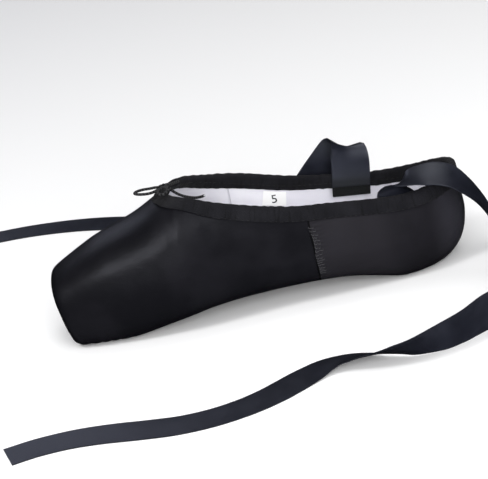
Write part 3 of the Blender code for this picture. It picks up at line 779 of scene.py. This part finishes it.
def addSeamStitches():
    rungs, uprights, tails = [], [], []
    for side in (-1, 1):
        for i in range(int((seam["high"] - seam["low"]) / seam["step"])):
            # No two rungs lean or reach back quite alike, as sewn ones don't
            foot = seam["low"] + seam["step"] * i
            near, far = 0.0009, seam["width"] * (0.86 + 0.14 * math.sin(i * 2.3))
            slope = 0.16 * math.sin(i * 1.7)
            corners = ((near, 0.15), (near, 0.85), (far, 0.15 + slope), (far, 0.80 + slope),
                       (far * 0.62, 0.35 + slope), (far * 0.62, 0.95))
            ends = [onFlank(side, across, foot + share * seam["step"], seam["lift"])
                    for across, share in corners]
            rungs += [(ends[0], ends[1]), (ends[0], ends[4]), (ends[4], ends[2])]
            uprights += [(ends[2], ends[3]), (ends[4], ends[5])]
        for i, drop in enumerate(seam["tails"]):
            start = onFlank(side, 0.0013 * i - 0.0004, seam["tailHeight"], 0.0001)
            tails.append((start, start + Vector((0.0003 * (i - 1), side * 0.0003, -drop))))
    addStitches("side_seam_rungs", rungs, seam["thread"], "seamThread")
    addStitches("side_seam_uprights", uprights, seam["thread"], "thread")
    addStitches("cut_thread_ends", tails, seam["tailThread"], "thread")


addSeamFold("seam_fold_near", -1)
addSeamFold("seam_fold_far", 1)
addSeamStitches()
print("seams ready")

# Soles: both are flat sheets, and their cut edges are eased

soles = {"leatherEdge": 0.0003, "clothEdge": 0.0004, "edgeAngle": 35.0}


def addSole(name, node, paint, slot, bevel):
    made = mergedCopy(node, 0)
    limit = math.radians(soles["edgeAngle"])
    sharp = [edge for edge in made.edges if edge.calc_face_angle(0) > limit]
    bmesh.ops.bevel(made, geom=sharp, offset=bevel, offset_type="OFFSET", segments=2, profile=0.5,
                    affect="EDGES", material=-1)
    addPiece(name, made, paint, replaces=[node], slot=slot)


addSole("leather_outsole", "outsole", "leather", "sole leather", soles["leatherEdge"])
addSole("insole_board", "insole", "insole", "insole cloth", soles["clothEdge"])

# Size tag with a plain numeral

tag = {"digit": "5", "height": 0.0078, "low": 0.0028, "print": 0.00004, "lift": 0.00006}


def addTag():
    made = mergedCopy("size_tag", 0)
    made.normal_update()
    tree = BVHTree.FromBMesh(made)
    addPiece("size_tag_tape", made, "tag", replaces=["size_tag"], slot="tag cotton")
    text = bpy.data.curves.new("numeral", "FONT")
    text.body = tag["digit"]
    text.size = tag["height"]
    text.align_x = "CENTER"
    text.extrude = tag["print"]
    letter = bpy.data.objects.new("numeral", text)
    bpy.context.collection.objects.link(letter)
    bpy.context.view_layer.update()
    seen = letter.evaluated_get(bpy.context.evaluated_depsgraph_get())
    shape = bmesh.new()
    shape.from_mesh(seen.to_mesh())
    seen.to_mesh_clear()
    bpy.data.objects.remove(letter, do_unlink=True)
    # The numeral is laid on the tape's face, point by point
    low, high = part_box("size_tag")
    centre = (low + high) / 2
    for vertex in shape.verts:
        guess = Vector((centre.x + vertex.co.x, low.y - 0.01, centre.z - tag["low"] + vertex.co.y))
        spot, normal, _, _ = tree.ray_cast(guess, Vector((0, 1, 0)))
        vertex.co = spot + normal * (tag["lift"] + vertex.co.z)
    addPiece("tag_numeral", shape, "print")


addTag()
print("soles and tag ready")

# Ribbons: the part's own routes, as centre and direction of the width

nearRibbon = (
    (0.0805, -0.0240, 0.0350, 1.0, 0.0, 0.0), (0.0805, -0.0213, 0.0415, 1.0, 0.0, 0.0),
    (0.0806, -0.0186, 0.0480, 0.97, 0.16, 0.0), (0.0825, -0.0180, 0.0530, 0.62, 0.75, -0.10),
    (0.0884, -0.0190, 0.0556, 0.15, 0.98, 0.05), (0.0968, -0.0186, 0.0556, 0.10, 0.96, 0.22),
    (0.1049, -0.0195, 0.0551, 0.16, 0.94, 0.28), (0.1128, -0.0228, 0.0520, 0.20, 0.94, 0.26),
    (0.1194, -0.0260, 0.0458, 0.23, 0.95, 0.14), (0.1242, -0.0285, 0.0395, 0.26, 0.95, -0.03),
    (0.1280, -0.0317, 0.0325, 0.28, 0.94, -0.19), (0.1315, -0.0352, 0.0255, 0.35, 0.88, -0.32),
    (0.1355, -0.0395, 0.0195, 0.42, 0.78, -0.46), (0.1402, -0.0450, 0.0148, 0.45, 0.62, -0.62),
    (0.1450, -0.0540, 0.0122, 0.42, 0.40, -0.80), (0.1475, -0.0660, 0.0115, 0.30, 0.15, -0.94),
    (0.1460, -0.0800, 0.0114, 0.10, 0.00, -1.0), (0.1400, -0.0945, 0.0114, 0.00, 0.05, -1.0),
    (0.1300, -0.1070, 0.0114, 0.03, 0.12, -0.99), (0.1175, -0.1165, 0.0114, 0.05, 0.18, -0.97),
    (0.1040, -0.1241, 0.0112, 0.06, 0.24, -0.96), (0.0907, -0.1340, 0.0107, 0.08, 0.38, -0.91),
    (0.0785, -0.1396, 0.0103, 0.06, 0.48, -0.87), (0.0625, -0.1412, 0.0089, 0.08, 0.70, -0.71),
    (0.0528, -0.1385, 0.0077, 0.10, 0.82, -0.56), (0.0440, -0.1342, 0.0062, 0.10, 0.89, -0.43),
    (0.0367, -0.1290, 0.0046, 0.05, 0.95, -0.31), (0.0270, -0.1245, 0.0030, 0.00, 0.98, -0.20),
    (0.0171, -0.1245, 0.0018, -0.12, 0.98, -0.09), (0.0080, -0.1290, 0.0009, -0.25, 0.96, -0.02),
    (-0.0020, -0.1360, 0.0006, -0.35, 0.94, 0.0), (-0.0130, -0.1435, 0.0006, -0.40, 0.92, 0.0),
    (-0.0270, -0.1500, 0.0006, -0.30, 0.95, 0.0), (-0.0440, -0.1540, 0.0006, -0.12, 0.99, 0.0),
    (-0.0620, -0.1540, 0.0006, 0.10, 1.0, 0.0), (-0.0800, -0.1500, 0.0006, 0.24, 0.97, 0.0),
    (-0.0980, -0.1450, 0.0006, 0.24, 0.97, 0.0), (-0.1160, -0.1420, 0.0006, 0.08, 1.0, 0.0),
    (-0.1340, -0.1425, 0.0006, -0.12, 0.99, 0.0), (-0.1500, -0.1460, 0.0006, -0.28, 0.96, 0.0),
)
farRibbon = (
    (0.0595, 0.0254, 0.0380, 0.96, 0.0, -0.28), (0.0600, 0.0231, 0.0440, 0.96, 0.0, -0.26),
    (0.0608, 0.0208, 0.0505, 0.97, 0.0, -0.24), (0.0616, 0.0195, 0.0570, 0.975, 0.0, -0.22),
    (0.0621, 0.0200, 0.0625, 0.96, 0.02, -0.28), (0.0618, 0.0218, 0.0668, 0.93, 0.04, -0.36),
    (0.0603, 0.0243, 0.0686, 0.90, 0.03, -0.43), (0.0577, 0.0268, 0.0672, 0.84, 0.02, -0.53),
    (0.0542, 0.0290, 0.0636, 0.78, 0.06, -0.62), (0.0497, 0.0315, 0.0585, 0.75, 0.10, -0.65),
    (0.0445, 0.0347, 0.0525, 0.75, 0.14, -0.64), (0.0385, 0.0390, 0.0450, 0.76, 0.19, -0.62),
    (0.0320, 0.0440, 0.0365, 0.77, 0.25, -0.58), (0.0250, 0.0505, 0.0275, 0.78, 0.33, -0.52),
    (0.0170, 0.0585, 0.0190, 0.78, 0.42, -0.42), (0.0080, 0.0680, 0.0115, 0.78, 0.52, -0.28),
    (-0.0020, 0.0800, 0.0060, 0.79, 0.58, -0.14), (-0.0125, 0.0940, 0.0022, 0.80, 0.60, -0.03),
    (-0.0240, 0.1110, 0.0007, 0.81, 0.58, 0.0), (-0.0355, 0.1290, 0.0006, 0.81, 0.58, 0.0),
    (-0.0480, 0.1480, 0.0006, 0.76, 0.65, 0.0), (-0.0640, 0.1660, 0.0006, 0.64, 0.77, 0.0),
    (-0.0830, 0.1800, 0.0006, 0.54, 0.84, 0.0), (-0.1040, 0.1915, 0.0006, 0.42, 0.91, 0.0),
    (-0.1260, 0.1995, 0.0006, 0.30, 0.95, 0.0), (-0.1500, 0.2045, 0.0006, 0.14, 0.99, 0.0),
    (-0.1740, 0.2050, 0.0006, -0.08, 1.0, 0.0), (-0.1970, 0.2010, 0.0006, -0.26, 0.96, 0.0),
    (-0.2180, 0.1930, 0.0006, -0.42, 0.91, 0.0), (-0.2380, 0.1820, 0.0006, -0.54, 0.84, 0.0),
)

ribbon = {
    "width": 0.022,
    "thickness": 0.00038,
    "step": 0.0022,
    "columns": 16,
    "lengthNear": 0.486,
    "lengthFar": 0.443,
    "flutter": 0.00045,
    "floorGap": 0.00005,
    "hem": 0.0072,
    "hemGap": 0.00035,
    "hemInset": 0.0002,
    "hemThickness": 0.0003,
    "hemStitch": 0.0021,
    "hemThread": 0.00013,
}


def ribbonFrames(folds):
    # Along the route: the centre, the direction of the width, the face's normal, the length.
    # The directions are made short, so that the steps follow the centres alone.
    rows = [Vector((*row[:3], *(Vector(row[3:]).normalized() * 0.01))) for row in folds]
    route = smoothRoute(rows, ribbon["step"])
    centres = [Vector(row[:3]) for row in route]
    frames = []
    length = 0.0
    for i, centre in enumerate(centres):
        along = (centres[min(i + 1, len(centres) - 1)] - centres[max(i - 1, 0)]).normalized()
        across = Vector(route[i][3:])
        across = (across - along * across.dot(along)).normalized()
        length += (centre - centres[max(i - 1, 0)]).length
        frames.append((centre, across, along.cross(across), length))
    return frames


def addRibbon(name, folds, node):
    frames = ribbonFrames(folds)
    last = len(frames) - 1
    made = bmesh.new()
    strip = made.loops.layers.uv.new("strip")
    bmesh.ops.create_grid(made, x_segments=last, y_segments=ribbon["columns"], size=0.5)
    for vertex in made.verts:
        centre, across, normal, far = frames[round((vertex.co.x + 0.5) * last)]
        side = vertex.co.y * 2
        for loop in vertex.link_loops:
            loop[strip].uv = (side * ribbon["width"] * 500, far * 1000)
        flutter = ribbon["flutter"] * noise.noise(Vector((far * 45, side * 0.7, last)))
        flutter *= ease(centre.z, 0.001, 0.007) * ease(far, 0.060, 0.090)
        vertex.co = centre + across * side * ribbon["width"] / 2 + normal * flutter
    bmesh.ops.solidify(made, geom=made.faces[:], thickness=ribbon["thickness"])
    bmesh.ops.recalc_face_normals(made, faces=made.faces)
    for vertex in made.verts:
        vertex.co.z = max(vertex.co.z, ribbon["floorGap"])
    piece = addPiece(name, made, "ribbon", replaces=[node], slot="ribbon satin")


def addHem(name, folds):
    # The ribbon's end folded back on itself and sewn to the lining round its four sides
    frames = [row for row in ribbonFrames(folds) if row[3] <= ribbon["hem"]]
    inward = -1 if frames[0][0].y > 0 else 1
    made = bmesh.new()
    bmesh.ops.create_grid(made, x_segments=len(frames) - 1, y_segments=8, size=0.5)
    half = ribbon["width"] / 2 - ribbon["hemInset"]
    top = ribbon["hemThickness"]

    def spot(i, side, lift):
        centre, across, normal, _ = frames[i]
        facing = normal if normal.y * inward > 0 else -normal
        return centre + across * side * half + facing * (ribbon["hemGap"] + lift)

    for vertex in made.verts:
        i = round((vertex.co.x + 0.5) * (len(frames) - 1))
        vertex.co = spot(i, vertex.co.y * 2, 0.0)
    bmesh.ops.solidify(made, geom=made.faces[:], thickness=top)
    bmesh.ops.recalc_face_normals(made, faces=made.faces)
    addPiece(name, made, "hem")
    places = []
    count = int(2 * half / ribbon["hemStitch"])
    for i in (1, len(frames) - 1):
        for j in range(count):
            start = -0.92 + 1.84 * (j + 0.15) / count
            places.append((spot(i, start, top), spot(i, start + 1.1 / count, top)))
    for side in (-0.92, 0.92):
        for i in range(1, len(frames) - 1):
            start = spot(i, side, top)
            places.append((start, start.lerp(spot(i + 1, side, top), 0.7)))
    addStitches(name + "_stitches", places, ribbon["hemThread"], "thread")


addRibbon("near_ribbon", nearRibbon, "ribbon_near")
addRibbon("far_ribbon", farRibbon, "ribbon_far")
addHem("near_ribbon_hem", nearRibbon)
addHem("far_ribbon_hem", farRibbon)
print("ribbons ready")

# Drawstring: a knot, two loops and two loose ends, from the part's own routes, which are
# measured from the middle of the knot

toeLoop = (
    (-0.0030, 0.0010, 0.0004), (-0.0046, 0.0035, -0.0002), (-0.0073, 0.0055, -0.0008),
    (-0.0114, 0.0060, -0.0007), (-0.0147, 0.0048, -0.0006), (-0.0161, 0.0018, -0.0005),
    (-0.0140, -0.0010, -0.0006), (-0.0101, -0.0020, -0.0010), (-0.0062, -0.0020, -0.0010),
    (-0.0030, -0.0012, -0.0004),
)
heelLoop = (
    (0.0014, -0.0030, 0.0008), (0.0022, -0.0058, 0.0009), (0.0022, -0.0088, 0.0003),
    (0.0004, -0.0108, -0.0003), (-0.0022, -0.0102, -0.0003), (-0.0032, -0.0074, 0.0003),
    (-0.0027, -0.0048, 0.0006), (-0.0014, -0.0030, 0.0004),
)
toeEnd = (
    (0.0022, 0.0014, 0.0008), (0.0040, 0.0034, -0.0002), (0.0064, 0.0066, -0.0010),
    (0.0094, 0.0104, -0.0018),
)
heelEnd = (
    (0.0028, 0.0000, -0.0004), (0.0048, 0.0000, -0.0030), (0.0076, -0.0004, -0.0056),
    (0.0110, -0.0020, -0.0073), (0.0152, -0.0054, -0.0079), (0.0188, -0.0092, -0.0073),
    (0.0218, -0.0128, -0.0058),
)
string = {
    "diameter": 0.0016,
    "taper": 0.12,
    "step": 0.0006,
    "loopLength": 0.0366,
    "endLength": 0.0300,
    "tip": 0.0005,
    "tipReach": 0.0003,
    "knotScale": 0.00058,
    "knotTilt": 62.0,
    "knotSteps": 72,
}

knotLow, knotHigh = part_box("drawstring_knot")
knotCentre = (knotLow + knotHigh) / 2


def stringPath(route, isLoop):
    # Starts inside the knot, and a loop also ends there
    offsets = [Vector(offset) for offset in route]
    offsets = [offsets[0] * 0.25, *offsets]
    if isLoop:
        offsets.append(offsets[-1] * 0.25)
    return smoothRoute([knotCentre + offset for offset in offsets], string["step"])


def addString(name, route, node, isLoop=False):
    path = stringPath(route, isLoop)
    piece = sweepTube(name, path, string["diameter"] / 2, "string", sides=14, taper=string["taper"])
    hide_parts(node)
    return piece, path


def addKnot():
    # One strand that crosses over itself three times
    turn = Matrix.Rotation(math.radians(string["knotTilt"]), 3, "X")
    strand = []
    for i in range(string["knotSteps"] + 1):
        angle = 2 * math.pi * i / string["knotSteps"]
        x = math.sin(angle) + 2 * math.sin(2 * angle)
        y = math.cos(angle) - 2 * math.cos(2 * angle)
        z = -math.sin(3 * angle) * 1.5
        strand.append(knotCentre + turn @ Vector((x, y, z)) * string["knotScale"])
    knot = sweepTube("bow_knot", strand, string["diameter"] / 2, "string", sides=12)
    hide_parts("drawstring_knot")
    return knot


def addTip(path):
    # The pale fibres at the cut end of the string
    reach = (path[-1] - path[-3]).normalized() * string["tipReach"]
    return sweepTube("cut_tip", [path[-1] - reach, path[-1] + reach], string["tip"], "paleThread",
                     sides=12)


def addDrawstring():
    loopToe, pathLoop = addString("toe_loop", toeLoop, "drawstring_loop_toe", True)
    loopHeel, _ = addString("heel_loop", heelLoop, "drawstring_loop_heel", True)
    endToe, _ = addString("toe_end", toeEnd, "drawstring_end_toe")
    endHeel, pathHeel = addString("heel_end", heelEnd, "drawstring_end_heel")
    knot = addKnot()
    tip = addTip(pathHeel)


addDrawstring()
print("drawstring ready")

writeSize()
